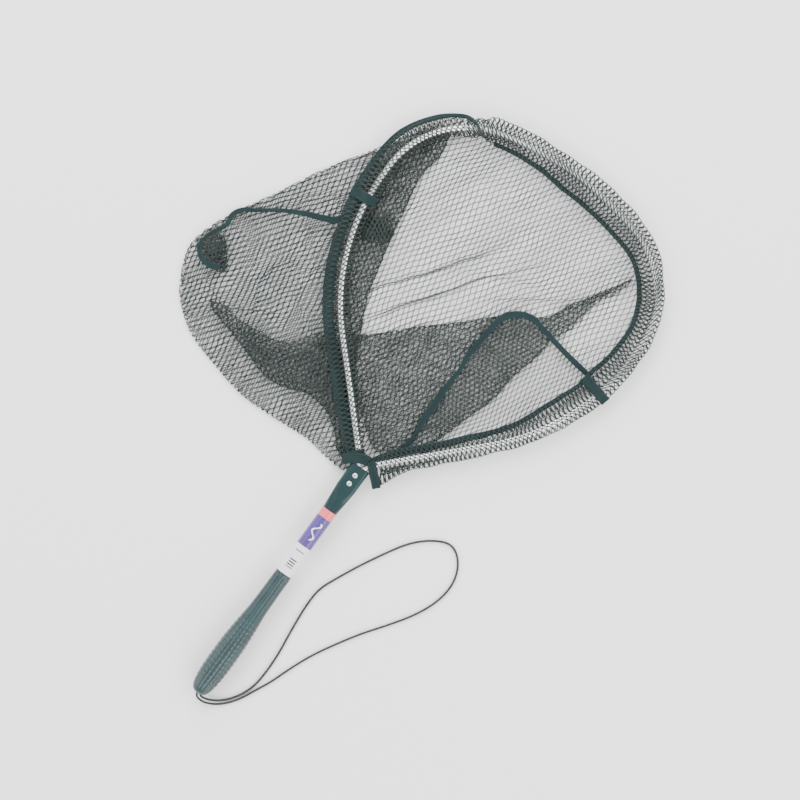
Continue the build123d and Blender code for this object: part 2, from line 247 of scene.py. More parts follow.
def label_material(name, top, end):
    """Printed film: a pink band, a purple panel with a plain white wave, and a pale panel with bars."""
    n = Nodes(name)
    x, y = n.add("SeparateXYZ", Vector=n.place).outputs[:2]
    x = n.math("SUBTRACT", x, NECK_X * MM)

    def between(value, low, high):
        above = n.math("GREATER_THAN", value, low)
        return n.math("MULTIPLY", above, n.math("LESS_THAN", value, high))

    down = n.math("DIVIDE", n.math("SUBTRACT", top, y), top - end)
    printed = n.noise(900.0, 2.0)
    pink = n.tones(printed, (0.72, 0.09, 0.11), (0.8, 0.15, 0.16))
    purple = n.tones(printed, (0.045, 0.022, 0.17), (0.075, 0.04, 0.24))
    white = n.tones(printed, (0.74, 0.72, 0.78), (0.82, 0.81, 0.84))
    grey = (0.03, 0.028, 0.035, 1)
    colour = n.mix(n.math("GREATER_THAN", down, PINK_END), pink, purple)
    colour = n.mix(n.math("GREATER_THAN", down, PURPLE_END), colour, white)
    swing = n.math("SINE", n.math("MULTIPLY", down, 34.0))
    off_wave = n.math("ABSOLUTE", n.math("SUBTRACT", x, n.math("MULTIPLY", swing, 0.0034)))
    wave = n.math("MULTIPLY", n.math("LESS_THAN", off_wave, 0.0011), between(down, WAVE_FROM, WAVE_TO))
    colour = n.mix(wave, colour, white)
    bars = n.math("SINE", n.math("MULTIPLY", down, 170.0))
    block = n.math("MULTIPLY", between(down, BARS_FROM, BARS_TO), between(x, -0.005, 0.0045))
    colour = n.mix(n.math("MULTIPLY", block, n.math("GREATER_THAN", bars, -0.1)), colour, grey)
    rule = n.math("MULTIPLY", between(down, RULE_FROM, RULE_TO), between(x, -0.006, 0.006))
    colour = n.mix(rule, colour, grey)
    n.bump(n.noise(260.0, 2.0), 0.1, 0.0003)
    return n.set(Base_Color=colour, Roughness=n.span(printed, 0.2, 0.8, 0.24, 0.34), Coat_Weight=0.4)


def cord_material(name):
    n = Nodes(name)
    along, around = n.strip_place()
    along = n.math("MULTIPLY", along, 2 * math.pi / CORD_PLAIT)
    around = n.math("MULTIPLY", around, 2 * math.pi * 3.0)
    one_way = n.math("SINE", n.math("ADD", along, around))
    other_way = n.math("SINE", n.math("SUBTRACT", along, around))
    plait = n.math("MULTIPLY", one_way, other_way)
    fibres = n.noise(2500.0, 2.0)
    # Painted shade: the colour is darker in the hollows of the plait, where the bump and the mesh sink,
    # than on its ridges.
    colour = n.mix(n.span(plait, -0.6, 0.8), (0.006, 0.009, 0.008, 1), (0.02, 0.026, 0.024, 1))
    n.bump(n.math("ADD", plait, fibres), 0.5, 0.0002)
    return n.set(Base_Color=colour, Roughness=n.span(fibres, 0.3, 0.7, 0.6, 0.8), Sheen_Weight=0.2)


THREAD = thread_material("net_thread", (0.008, 0.015, 0.014), (0.017, 0.027, 0.024))
TAPE = tape_material("binding_tape", (0.0028, 0.0165, 0.018), (0.006, 0.028, 0.03))
STITCH = thread_material("stitch_thread", (0.006, 0.022, 0.023), (0.012, 0.036, 0.037))
HOOP_ALLOY = alloy_material("hoop_alloy", (0.86, 0.87, 0.88), 0.3)
RIVET_ALLOY = alloy_material("rivet_alloy", (0.8, 0.83, 0.82), 0.38)
MANDREL_STEEL = alloy_material("mandrel_steel", (0.3, 0.32, 0.32), 0.5)
ENAMEL = enamel_material("handle_enamel")
RUBBER = rubber_material("grip_rubber")
CORD = cord_material("braided_cord")

# The finish of each CAD node that stays
label_low, label_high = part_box("label")
for node, material in (
    ("hoop_tube", HOOP_ALLOY),
    ("handle_tube", ENAMEL),
    ("rivets", RIVET_ALLOY),
    ("rivet_mandrels", MANDREL_STEEL),
    ("label", label_material("label_film", label_high.y, label_low.y)),
    ("lanyard_knot", CORD),
):
    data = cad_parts[node].data
    data.materials.clear()
    data.materials.append(material)


# -------- meshes


def mesh_piece(name, points, faces, material, uv=None, replaces=()):
    """A piece that rides on the part, from points in metres and faces of four corners."""
    data = bpy.data.meshes.new(name)
    data.vertices.add(len(points))
    data.vertices.foreach_set("co", np.asarray(points, np.float32).ravel())
    faces = np.asarray(faces, np.int32)
    data.loops.add(faces.size)
    data.loops.foreach_set("vertex_index", faces.ravel())
    data.polygons.add(len(faces))
    data.polygons.foreach_set("loop_start", np.arange(len(faces), dtype=np.int32) * 4)
    data.update(calc_edges=True)
    data.validate()
    if uv is not None:
        layer = data.uv_layers.new(name="UVMap")
        layer.data.foreach_set("uv", np.asarray(uv, np.float32)[faces.ravel()].ravel())
    data.polygons.foreach_set("use_smooth", np.full(len(data.polygons), True))
    data.materials.append(material)
    piece = bpy.data.objects.new(name, data)
    bpy.context.scene.collection.objects.link(piece)
    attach(piece, "root")
    if replaces:
        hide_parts(*replaces)
    return piece


def tube_mesh(paths, radius, sides):
    """Open-ended tubes along paths in metres: points, faces and a uv of (millimetres along, turn)."""
    line = np.concatenate(paths)
    ends = np.cumsum([len(path) for path in paths]) - 1
    step = np.diff(line, axis=0)
    step[ends[:-1]] = 0.0
    ahead = np.vstack([step, [[0, 0, 0]]])
    behind = np.vstack([[[0, 0, 0]], step])
    tangent = unit(unit(ahead) + unit(behind))
    side = np.cross(tangent, (0.0, 0.0, 1.0))
    steep = np.linalg.norm(side, axis=1) < 0.15
    side[steep] = np.cross(tangent[steep], (0.6, 0.8, 0.0))
    side = unit(side)
    turned = np.sign((side[1:] * side[:-1]).sum(1))
    turned[turned == 0] = 1
    turned[ends[:-1]] = 1
    side *= np.concatenate([[1], np.cumprod(turned)])[:, None]
    lift = np.cross(side, tangent)
    angle = (np.arange(sides) + 0.5) * 2 * math.pi / sides
    ring = side[:, None] * np.cos(angle)[None, :, None] + lift[:, None] * np.sin(angle)[None, :, None]
    points = (line[:, None] + ring * radius).reshape(-1, 3)
    first = np.setdiff1d(np.arange(len(line)), ends)
    k = np.arange(sides)
    a = first[:, None] * sides + k
    b = first[:, None] * sides + (k + 1) % sides
    faces = np.stack([a, b, b + sides, a + sides], axis=-1).reshape(-1, 4)
    along = run_of(step) / MM
    uv = np.stack([np.repeat(along, sides), np.tile(k / sides, len(line))], axis=1)
    return points, faces, uv


# -------- lanyard

# The same points as the cord's route in the part's source: out of the grip, over the floor and back
CORD_ON_FLOOR = [
    (0.0985, -0.3756), (0.1078, -0.362), (0.1146, -0.344), (0.1162, -0.322), (0.1154, -0.296),
    (0.1114, -0.266), (0.1082, -0.234), (0.1084, -0.206), (0.1176, -0.184), (0.1316, -0.154),
    (0.1464, -0.1264), (0.163, -0.098), (0.1836, -0.078), (0.2064, -0.0672), (0.225, -0.0794),
    (0.2354, -0.1024), (0.2338, -0.13), (0.2218, -0.16), (0.202, -0.19), (0.1816, -0.2176),
    (0.1642, -0.246), (0.148, -0.275), (0.1362, -0.304), (0.128, -0.328), (0.119, -0.3466),
    (0.111, -0.3646), (0.101, -0.3792),
]
LANYARD_ROUTE = [
    (0.0658, -0.378, 0.0155), (0.0658, -0.389, 0.0155), (0.0755, -0.3904, 0.0086),
    (0.0875, -0.3854, 0.0034),
    *((x, y, 0.0016) for x, y in CORD_ON_FLOOR),
    (0.0886, -0.39, 0.0034), (0.0749, -0.3952, 0.0086), (0.0622, -0.392, 0.0155),
    (0.0622, -0.378, 0.0155),
]
CORD_SIDES = 14


def make_lanyard():
    curve = bpy.data.curves.new("lanyard_line", "CURVE")
    curve.dimensions = "3D"
    spline = curve.splines.new("NURBS")
    spline.points.add(len(LANYARD_ROUTE) - 1)
    for point, place in zip(spline.points, LANYARD_ROUTE):
        point.co = (*place, 1.0)
    spline.order_u = 3
    spline.use_endpoint_u = True
    spline.resolution_u = 24
    carrier = bpy.data.objects.new("lanyard_line", curve)
    line_mesh = bpy.data.meshes.new_from_object(carrier)
    line = np.array([v.co for v in line_mesh.vertices])
    bpy.data.objects.remove(carrier)
    bpy.data.meshes.remove(line_mesh)
    points, faces, uv = tube_mesh([line], CORD_D / 2 * MM, CORD_SIDES)
    # The plait's two sets of ridges, which cross
    along = uv[:, 0] * 2 * math.pi / CORD_PLAIT
    around = uv[:, 1] * 6 * math.pi
    plait = np.sin(along + around) * np.sin(along - around)
    centre = np.repeat(line, CORD_SIDES, axis=0)
    points = centre + (points - centre) * (0.95 + 0.05 * plait)[:, None]
    piece = mesh_piece("lanyard_cord", points, faces, CORD, uv, ["lanyard"])


make_lanyard()


# -------- the hoop's line

ARM_ANGLE = 44.0
NECK_BEND_Y = -8.0
NECK_BEND_R = 18.0
SIDE_R = 262.0
SIDE_FLAT = 13.0
CORNER_R = 112.0
CORNER_ANGLE = 74.0
HALF_WIDTH = (hoop_high.x - hoop_low.x) / 2 / MM - TUBE_R
LEG_X = 4.1


def hoop_half():
    """The hoop's centre line from the right leg round to the middle of the far end."""
    arm = math.radians(ARM_ANGLE)
    corner = math.radians(CORNER_ANGLE)
    arm_x = LEG_X + NECK_BEND_R * (1 - math.cos(arm))
    arm_length = (HALF_WIDTH - arm_x - SIDE_R * (1 - math.cos(arm))) / math.sin(arm)
    far_r = (HALF_WIDTH - CORNER_R * (1 - math.cos(corner))) / math.cos(corner)
    stretches = (
        (NECK_BEND_R * arm, -arm),
        (arm_length, 0.0),
        (SIDE_R * arm, arm),
        (SIDE_FLAT, 0.0),
        (CORNER_R * corner, corner),
        (far_r * (math.pi / 2 - corner), math.pi / 2 - corner),
    )
    place = Vector((LEG_X, NECK_BEND_Y))
    heading = math.pi / 2
    points = [place.copy()]
    for length, turn in stretches:
        steps = max(1, round(length))
        for _ in range(steps):
            middle = heading + turn / steps / 2
            place += Vector((math.cos(middle), math.sin(middle))) * (length / steps)
            heading += turn / steps
            points.append(place.copy())
    return np.array(points)


right_half = hoop_half()
left_half = (right_half * (-1, 1))[::-1]
HOOP = np.vstack([right_half, left_half[1:]])
HOOP_AT = run_of(np.diff(HOOP, axis=0))
HOOP_END = HOOP_AT[-1]


def on_hoop(along):
    """Place, direction and inward direction of the hoop's line, each distance along from the right leg."""
    behind, place, ahead = (
        np.stack([np.interp(along + step, HOOP_AT, HOOP[:, k]) for k in (0, 1)], axis=-1)
        for step in (-1.5, 0.0, 1.5)
    )
    direction = unit(ahead - behind)
    inward = np.stack([-direction[..., 1], direction[..., 0]], axis=-1)
    return place, direction, inward


# -------- netting

JOINT_SHARE = 0.42  # how much of a row of cells two strands run joined


def between_points(a, b, c, d, t):
    """A share t of the way from b to c on a curve through four points (Catmull-Rom)."""
    return 0.5 * (2 * b + (c - a) * t + (2 * a - 5 * b + 4 * c - d) * t**2 + (3 * b - a - 3 * c + d) * t**3)


def smooth(points, step, closed=False):
    """A curve through given points, as points about step apart."""
    points = np.asarray(points, float)
    if closed:
        padded = np.vstack([points[-1], points, points[0], points[1]])
    else:
        padded = np.vstack([2 * points[0] - points[1], points, 2 * points[-1] - points[-2]])
    made = []
    for a, b, c, d in zip(padded, padded[1:], padded[2:], padded[3:]):
        count = max(1, round(np.linalg.norm(c - b) / step))
        t = (np.arange(count) / count)[:, None]
        made.append(between_points(a, b, c, d, t))
    if not closed:
        made.append(points[-1:])
    return np.vstack(made)


def inside(points, outline):
    """Whether each point is inside a closed outline."""
    x, y = points[..., 0], points[..., 1]
    found = np.zeros(x.shape, bool)
    for (x0, y0), (x1, y1) in zip(outline, np.roll(outline, -1, axis=0)):
        crosses = (y0 > y) != (y1 > y)
        if y1 != y0:
            found ^= crosses & (x < (x1 - x0) * (y - y0) / (y1 - y0) + x0)
    return found


def nearest(points, line):
    """How far each point is from a line in plan, and the nearest place on it."""
    flat = points.reshape(-1, 2)
    best = np.full(len(flat), np.inf)
    place = np.zeros_like(flat)
    for a, b in zip(line, line[1:]):
        d = b - a
        t = np.clip(((flat - a) @ d) / max(d @ d, 1e-9), 0, 1)
        foot = a + t[:, None] * d
        far = np.linalg.norm(flat - foot, axis=1)
        closer = far < best
        best[closer] = far[closer]
        place[closer] = foot[closer]
    return best.reshape(points.shape[:-1]), place.reshape(points.shape)


def ease(value):
    value = np.clip(value, 0.0, 1.0)
    return value * value * (3 - 2 * value)


def ripple(points, length, seed):
    """Soft unevenness of about -1 to 1 in plan, in waves about that long, the same for a seed."""
    rng = np.random.default_rng(seed)
    total = 0.0
    for _ in range(5):
        angle, phase, share = rng.uniform(0, math.pi), rng.uniform(0, 7), rng.uniform(0.7, 1.5)
        k = 2 * math.pi / (length * share)
        across = points[..., 0] * math.cos(angle) + points[..., 1] * math.sin(angle)
        total = total + np.sin(k * across + phase)
    return total / 3.2


def ripple_along(along, length, seed):
    """The same unevenness along a line."""
    return ripple(np.stack([along, along * 0], axis=-1), length, seed)


def zigzag(count_across, length, pitch, row_pitch):
    """Flat strands side by side, each joined to its neighbours in turn: across and along."""
    joint = JOINT_SHARE * row_pitch
    slant = row_pitch - joint
    one_row = np.array([0.12 * joint, 0.88 * joint, joint + 0.36 * slant, joint + 0.68 * slant])
    rows = int(length / row_pitch) + 2
    along = (np.arange(rows)[:, None] * row_pitch + one_row).ravel()
    swing = (1 - 2 * ease((one_row - joint) / slant)) * (pitch / 2 - 0.88 * THREAD_R)
    swing = (np.array([1, -1])[np.arange(rows) % 2][:, None] * swing).ravel()
    strand = np.arange(count_across)
    across = strand[:, None] * pitch + np.where(strand % 2, -1, 1)[:, None] * swing[None]
    return across, np.broadcast_to(along, across.shape)


def runs(mask):
    """Start and end of each unbroken stretch of at least three True."""
    edges = np.diff(np.concatenate([[0], mask.astype(np.int8), [0]]))
    starts, ends = np.flatnonzero(edges == 1), np.flatnonzero(edges == -1)
    return [(a, b) for a, b in zip(starts, ends) if b - a >= 3]


def lay(outline, angle, surface, pitch, row_pitch, warp):
    """Strands of netting over an outline in plan; surface gives each flat place its place in space."""
    outline = np.asarray(outline, float)
    turn = math.radians(angle)
    up = np.array([math.cos(turn), math.sin(turn)])
    right = np.array([up[1], -up[0]])
    margin = 25.0
    u, v = outline @ right, outline @ up
    across, along = zigzag(
        int((np.ptp(u) + 2 * margin) / pitch), np.ptp(v) + 2 * margin, pitch, row_pitch
    )
    across = across + u.min() - margin
    along = along + v.min() - margin
    flat = across[..., None] * right + along[..., None] * up
    flat = warp(flat)
    kept = inside(flat, outline)
    paths = []
    places = surface(flat)
    for strand, mask in zip(places, kept):
        paths += [row(strand[a:b]) for a, b in runs(mask)]
    return paths


def netting(name, paths, sides, replaces):
    """One piece of netting from its strands."""
    points, faces, uv = tube_mesh(paths, THREAD_R * MM, sides)
    piece = mesh_piece(name, points, faces, THREAD, uv, replaces)


def panel(name, outline, angle, surface, pitch, row_pitch, warp, replaces=()):
    """A panel of the bag, cut to its outline from netting whose strands run at an angle in plan."""
    paths = lay(outline, angle, surface, pitch, row_pitch, warp)
    netting(name, paths, 4, replaces)


def along_crease(flat, start, end):
    """The share of the way along a crease, the distance off it, and the direction square to it."""
    start, end = np.array(start, float), np.array(end, float)
    length = np.linalg.norm(end - start)
    direction = (end - start) / length
    normal = np.array([-direction[1], direction[0]])
    return (flat - start) @ direction / length, (flat - start) @ normal, normal


def creased(creases, sway, seed):
    """A warp that lays small pleats in the netting: each crease is a line, its depth and its width."""

    def warp(flat):
        slow = np.stack([ripple(flat, 90.0, seed), ripple(flat, 110.0, seed + 1)], axis=-1)
        quick = np.stack([ripple(flat, 31.0, seed + 2), ripple(flat, 27.0, seed + 3)], axis=-1)
        moved = flat + slow * sway * 2 + quick * sway * 0.6
        for start, end, depth, width in creases:
            t, off, normal = along_crease(flat, start, end)
            fade = ease(t / 0.3) * ease((1 - t) / 0.3) * np.exp(-((off / 45.0) ** 2))
            moved = moved - (depth * fade * np.tanh(off / width))[..., None] * normal
        return moved

    return warp


def crease_height(flat, creases):
    """How much the pleats lift the netting."""
    lift = 0.0
    for start, end, depth, width in creases:
        t, off, _ = along_crease(flat, start, end)
        lift = lift + depth * 0.8 * ease(t / 0.3) * ease((1 - t) / 0.3) / np.cosh(off / width) ** 2
    return lift


# -------- hem sleeve

# Distance along the hoop from the right leg, reach of the sewn tail and of the slack side from the
# tube, and how far the tail lies below the hoop's plane. The tail is inside the hoop up to the
# turnover, where the sleeve twists half round the tube, and outside the hoop after it.
SLEEVE_FORM = np.array([
    (9, 6, 25, 2), (14, 7, 25.5, 2.2), (26, 10, 23, 3), (42, 13, 17, 4), (60, 13, 13.5, 4.5),
    (100, 13, 13, 5), (150, 15, 12, 6), (200, 19, 10, 7), (240, 24, 10, 7), (262, 25, 10.5, 7),
    (290, 23, 11, 7), (317, 25, 11, 7), (351, 22, 11.5, 7), (386, 20, 10, 7), (420, 21.5, 9.5, 7),
    (450, 21, 10, 7), (489, 19.5, 12.5, 7), (530, 21, 15.5, 7), (575, 22, 16, 7),
    (624, 22, 15, 7), (658, 17, 15.5, 7), (700, 14, 17.5, 7), (728, 13, 18.5, 7),
    (749, 12, 16, 6), (770, 16, 9, 5), (790, 19, 8, 4), (833, 22, 9, 3.5), (880, 21, 9.5, 3.5),
    (960, 20, 10, 3.5), (1060, 20, 10, 3.5), (1150, 19, 10, 3.5), (HOOP_END - 36, 17, 9, 3.5),
    (HOOP_END - 14, 12, 5, 2),
])
TWIST_START = 722.0
TWIST_END = 772.0
SLEEVE_START = SLEEVE_FORM[0, 0]
SLEEVE_END = SLEEVE_FORM[-1, 0]
SLEEVE_CUT = 72.0  # flat width of the sleeve's netting, from tail round the tube and back to the tail
SLEEVE_PITCH = 2.9
SLEEVE_ROW = 6.4
OVER_TUBE = TUBE_R + 0.75  # from the tube's axis to the thread that lies on it
BESIDE_TUBE = 4.2


def twist_at(along):
    """How far the sleeve has turned round the tube, in radians."""
    return math.pi * ease((along - TWIST_START) / (TWIST_END - TWIST_START))


def sleeve_section(along, share, grow=0.0):
    """Offset inwards and height above the hoop's plane, a share of the way round from tail to tail."""
    tail, slack, drop = (np.interp(along, SLEEVE_FORM[:, 0], SLEEVE_FORM[:, k]) for k in (1, 2, 3))
    flutter = ripple_along(along, 37.0, 5)
    twist = twist_at(along)
    drop = drop * np.cos(twist)
    slack = slack + 1.1 * flutter + grow
    tail = tail + grow
    top = OVER_TUBE + grow
    shapes = (
        (tail, -drop + grow),
        (tail * 0.62, -drop * 0.45 + 1.2 + grow),
        (BESIDE_TUBE, top * 0.72),
        (0.0, top),
        (-slack * 0.45, top * 0.66),
        (-slack, 0.6 + 0.8 * flutter),
        (-slack * 0.45, -top * 0.66),
        (0.0, -top),
        (BESIDE_TUBE, -top * 0.9),
        (tail * 0.62, -drop * 0.75 - 2.2 - grow),
        (tail, -drop - 1.2 - grow),
    )
    parts = [[np.broadcast_to(part, tail.shape) for part in shape] for shape in shapes]
    control = np.moveaxis(np.array(parts), (0, 1), (-2, -1))
    place = np.clip(share, 0, 1) * (len(shapes) - 1)
    k = np.minimum(place.astype(int), len(shapes) - 2)
    t = (place - k)[..., None]

    def pick(index):
        index = np.clip(index, 0, len(shapes) - 1)
        return np.take_along_axis(control, index[..., None, None], axis=-2)[..., 0, :]

    bent = between_points(pick(k - 1), pick(k), pick(k + 1), pick(k + 2), t)
    x, z = bent[..., 0], bent[..., 1]
    # Where the sleeve twists, its tail goes over the tube and its slack bulges to both sides
    bulge = np.clip(3.0 * z, -9.0, 15.0) * np.sqrt(np.sin(math.pi * np.clip(share, 0.0, 0.999)))
    rise = np.clip(x, -5.5, 6.5)
    turned_x = x * np.cos(twist) - bulge * np.sin(twist)
    turned_z = z * np.cos(twist) + rise * np.sin(twist)
    return np.stack([turned_x, turned_z], axis=-1)


def sleeve_place(along, share, grow=0.0):
    """A place on the sleeve in millimetres from the neck, with its height above the floor."""
    place, _, inward = on_hoop(along)
    offset = sleeve_section(along, share, grow)
    flat = place + inward * offset[..., :1]
    return at_height(flat, AXIS_Z + offset[..., 1])


RIGHT_TAB_AT = 301.0
LEFT_TAB_AT = HOOP_END - 327.0
TURNOVER_AT = HOOP_END - 479.0


def make_sleeve(name, node, start, end, slant):
    """A stretch of the sleeve: its strands run round the tube, leaning along the hoop by a slant."""
    lean = slant * SLEEVE_CUT / 2
    strands = int((end - start + 2 * lean) / SLEEVE_PITCH)
    across, along = zigzag(strands, SLEEVE_CUT, SLEEVE_PITCH, SLEEVE_ROW)
    gather = 2.2 * ripple(np.stack([across + start, along], axis=-1), 60.0, 11)
    at = start - lean + across + gather + slant * (along - SLEEVE_CUT / 2)
    kept = (along <= SLEEVE_CUT) & (at >= start) & (at <= end)
    places = sleeve_place(np.clip(at, start, end), along / SLEEVE_CUT)
    paths = []
    for strand, mask in zip(places, kept):
        paths += [row(strand[a:b]) for a, b in runs(mask)]
    netting(name, paths, 5, [node])


make_sleeve("hem_netting_right", "hem_right_arm", SLEEVE_START, RIGHT_TAB_AT, 0.22)
make_sleeve("hem_netting_far", "hem_far_end", RIGHT_TAB_AT, TURNOVER_AT, 0.6)
make_sleeve("hem_netting_left", "hem_left_arm", TURNOVER_AT, SLEEVE_END, 0.2)


# -------- tapes


def ribbon(name, node, line, across, width, thick, spread=1.0, closed=False):
    """A flat tape along a line: across gives its width's direction, spread varies its width."""
    line, across = np.asarray(line, float), np.asarray(across, float)
    if closed:
        ahead = np.roll(line, -1, axis=0) - np.roll(line, 1, axis=0)
    else:
        ahead = np.gradient(line, axis=0)
    ahead = unit(ahead)
    across = unit(across - (across * ahead).sum(1)[:, None] * ahead)
    face = np.cross(across, ahead)
    half, edge = width / 2, thick / 2
    section = [
        (-half, 0.0), (-half + edge * 0.6, edge), (-half * 0.45, edge * 0.86),
        (half * 0.45, edge * 0.86), (half - edge * 0.6, edge), (half, 0.0),
        (half - edge * 0.6, -edge), (half * 0.45, -edge * 0.86), (-half * 0.45, -edge * 0.86),
        (-half + edge * 0.6, -edge),
    ]
    count = len(section)
    spread = np.broadcast_to(spread, len(line))[:, None]
    rings = np.stack([line + across * spread * a + face * b for a, b in section], axis=1)
    n = len(line)
    index = np.arange(n if closed else n - 1)
    k = np.arange(count)
    a = index[:, None] * count
    b = ((index + 1) % n)[:, None] * count
    faces = np.stack([a + k, a + (k + 1) % count, b + (k + 1) % count, b + k], axis=-1).reshape(-1, 4)
    if not closed:
        for first in (0, (n - 1) * count):
            # Each end is closed by faces across the section
            last = first + count - 1
            cap = [(first + i, first + i + 1, last - 1 - i, last - i) for i in range(4)]
            faces = np.vstack([faces, [q if first else q[::-1] for q in cap]])
    along = run_of(np.diff(line, axis=0))
    across_mm = np.array([a for a, _ in section])
    uv = np.stack([np.repeat(along, count), np.tile(across_mm, n)], axis=1)
    mesh_piece(name, row(rings.reshape(-1, 3)), faces, TAPE, uv, [node])


def stitch_row(name, line, lift):
    """A row of stitches along a line, lifted off it, that bite into the tape at both ends."""
    line = np.asarray(line, float)
    along = run_of(np.diff(line, axis=0))
    paths = []
    for start in np.arange(1.0, along[-1] - STITCH_LENGTH, STITCH_PITCH):
        at = start + STITCH_LENGTH * np.array([0.0, 0.2, 0.8, 1.0])
        place = np.stack([np.interp(at, along, line[:, k]) for k in range(3)], axis=1)
        place[:, 2] += lift * np.array([0.2, 1.0, 1.0, 0.2])
        paths.append(row(place))
    points, faces, uv = tube_mesh(paths, STITCH_R * MM, 5)
    mesh_piece(name, points, faces, STITCH, uv)


def rim_tape(side, start, end, widths, lead_in):
    """Tape folded over the sleeve's tail: widths are places along the hoop and the width there."""
    name = f"rim_binding_{side}"
    at = np.arange(start, end, 2.5)
    place, _, inward = on_hoop(at)
    twist = twist_at(at)
    lead = np.stack([np.cos(twist), 0 * twist], axis=-1)
    tail = (sleeve_section(at, 0 * at) + sleeve_section(at, 0 * at + 1)) / 2
    wobble = ripple_along(at, 55.0, 21)
    width = np.interp(at, *np.transpose(widths)) * (1 + 0.08 * ripple_along(at, 23.0, 23))
    middle = tail + lead * (0.5 * wobble - width / 2 + 1.6)[:, None]
    line = np.column_stack([place + inward * middle[:, :1], AXIS_Z + middle[:, 1] + 0.5 * wobble])
    tilt = 0.28 + 0.22 * ripple_along(at, 71.0, 22)
    facing = np.where(twist > math.pi / 2, -1.0, 1.0)[:, None]
    across = np.column_stack([inward * facing, -tilt])
    if len(lead_in):
        start_line = smooth(np.vstack([lead_in, line[:1]]), 2.5)[:-1]
        ahead = np.gradient(start_line, axis=0)
        left = np.column_stack([-ahead[:, 1], ahead[:, 0], np.zeros(len(ahead))])
        line = np.vstack([start_line, line])
        across = np.vstack([unit(left), across])
        width = np.concatenate([np.full(len(start_line), width[0]), width])
    widest = width.max()
    ribbon(name, f"rim_tape_{side}", line, across, widest, 2.6, width / widest)
    edge = unit(across) * (width / 2 - 1.3)[:, None]
    stitch_row(name + "_stitches", line + edge + (0, 0, 1.25), 0.18)


NECK_CROSSING = [
    (-24.0, -10.0, AXIS_Z - 2.0),
    (-17.0, -3.5, AXIS_Z + 3.0),
    (-8.5, 2.5, AXIS_Z + 7.6),
    (0.0, 5.5, AXIS_Z + 7.0),
]
TWIST_MIDDLE = (TWIST_START + TWIST_END) / 2
for side, start, end, widths, lead_in in (
    (
        "right", SLEEVE_START + 5.0, RIGHT_TAB_AT,
        ((14, 12), (60, 11), (110, 9.5), (180, 6.5), (300, 6)), NECK_CROSSING,
    ),
    ("far", RIGHT_TAB_AT + 1.0, TWIST_START + 4.0, ((300, 6), (690, 6), (TWIST_START, 5)), ()),
    (
        "left", TWIST_MIDDLE + 4.0, SLEEVE_END,
        ((TWIST_MIDDLE, 4), (800, 7), (880, 9), (950, 14), (1190, 15), (HOOP_END, 15)), (),
    ),
):
    rim_tape(side, start, end, widths, lead_in)


def tape_loop(name, node, at, width):
    """A tape right round the sleeve, square to the hoop."""
    share = np.linspace(0.0, 1.0, 64)
    along = np.full(64, float(at))
    loop = sleeve_place(along, share, 1.5)
    _, direction, _ = on_hoop(along)
    across = np.column_stack([direction, np.zeros(64)])
    ribbon(name, node, loop, across, width, 1.3, closed=True)
    for offset in (-1, 1):
        inset = across * offset * (width / 2 - 1.4)
        lifted = sleeve_place(along, share, 2.2) + inset
        # The half that faces up changes where the sleeve turns over
        upper = lifted[2:34] if twist_at(at) == 0 else lifted[30:62]
        stitch_row(f"{name}_stitches_{'out' if offset > 0 else 'in'}", upper, 0.12)


tape_loop("rim_tab_right", "hoop_tab_right", RIGHT_TAB_AT, 12.0)
tape_loop("rim_tab_left", "hoop_tab_left", LEFT_TAB_AT, 12.0)
tape_loop("neck_binding_right", "hem_end_tape_right", SLEEVE_START + 4.5, 10.5)
tape_loop("neck_binding_left", "hem_end_tape_left", SLEEVE_END - 4.0, 8.0)


# -------- bag netting

# The lobe's outline where the bag is folded, from the upper left of the hoop down to the neck
LOBE_EDGE = smooth([
    (-168, 384), (-198, 331), (-242, 263), (-271, 208), (-296, 163), (-310, 135), (-319, 110),
    (-321, 83), (-306, 47), (-288, 25), (-258, 4), (-220, -8), (-177, -18), (-148, -20),
    (-107, -18), (-71, -16), (-36, -21), (-14, -20), (-4, -6),
], 6.0)
RIGHT_SEAM = smooth([
    (158, 243), (133, 246), (109, 250), (83, 255), (62, 259), (47, 254), (35, 243), (29, 228),
    (27, 205), (25, 183), (27, 156), (26, 129), (27, 106), (27, 83), (30, 62), (25, 39), (16, 26),
], 6.0)
LEFT_SEAM = smooth([
    (-183, 250), (-195, 219), (-212, 208), (-229, 201), (-256, 187), (-282, 169), (-296, 160),
    (-302, 148), (-300, 134), (-309, 116), (-312, 98), (-302, 86), (-286, 84), (-276, 90),
], 4.0)
FOLD_RADIUS = 1.1
FOLD_UNDER = 4.0  # how far the netting goes on underneath past a fold
SEWN_INSET = 3.0  # from the sleeve's tail to where the bag is sewn to it


def tail_line(start, end):
    """The sewn edge of the sleeve in plan, from start to end along the hoop."""
    at = np.linspace(start, end, max(2, int(abs(end - start) / 8)))
    place, _, inward = on_hoop(at)
    tail = np.interp(at, SLEEVE_FORM[:, 0], SLEEVE_FORM[:, 1])
    return place + inward * ((tail - SEWN_INSET) * np.cos(twist_at(at)))[:, None]


FAR_TAIL = tail_line(RIGHT_TAB_AT, TURNOVER_AT + 45.0)
RIGHT_TAIL = tail_line(SLEEVE_START + 5.0, RIGHT_TAB_AT)
LEFT_TAIL = tail_line(TURNOVER_AT + 20.0, SLEEVE_END)
FAR_TAIL_Z = AXIS_Z - 8.4
LEFT_TAIL_Z = AXIS_Z - 5.0


def grown(line, distance):
    """An open line moved to its right by a distance."""
    ahead = unit(np.gradient(line, axis=0))
    return line + np.stack([ahead[:, 1], -ahead[:, 0]], axis=1) * distance


def risen(flat, height, line, line_height, reach):
    """Height, drawn up to a sewn line within reach of it."""
    far, _ = nearest(flat, line)
    return height + (line_height - height) * (1 - ease(far / reach))


